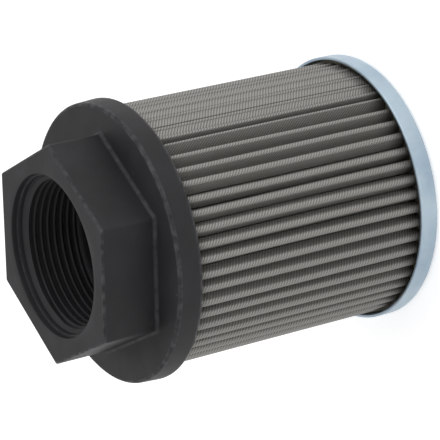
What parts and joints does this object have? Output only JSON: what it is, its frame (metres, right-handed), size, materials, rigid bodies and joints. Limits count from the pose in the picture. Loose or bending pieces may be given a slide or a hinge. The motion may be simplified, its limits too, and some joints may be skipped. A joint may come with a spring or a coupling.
{
  "type": "hydraulic suction strainer",
  "caption": "Suction strainer for a hydraulic tank: hexagonal moulded head with a threaded port, pleated wire mesh cylinder and pressed metal end cap.",
  "frame": {"origin": "centre of the end cap's flat base, on the strainer's axis", "axes": "+Z along the strainer's axis, from the end cap up to the threaded port, X through a corner of the hexagon"},
  "size_m": [0.0868, 0.0866, 0.112],
  "materials": {
    "head_plastic": "moulded glass filled nylon, matt charcoal",
    "wire_mesh": "woven stainless wire cloth, warm grey",
    "core_steel": "galvanised sheet",
    "cap_zinc": "zinc plated, pale blue passivate",
    "resin": "cast epoxy, dull brown green"
  },
  "bodies": {
    "root": {"threaded_head": "head_plastic", "pleated_mesh": "wire_mesh", "core_tube": "core_steel", "end_cap": "cap_zinc", "cap_potting": "resin", "head_potting": "resin"}
  },
  "joints": []
}
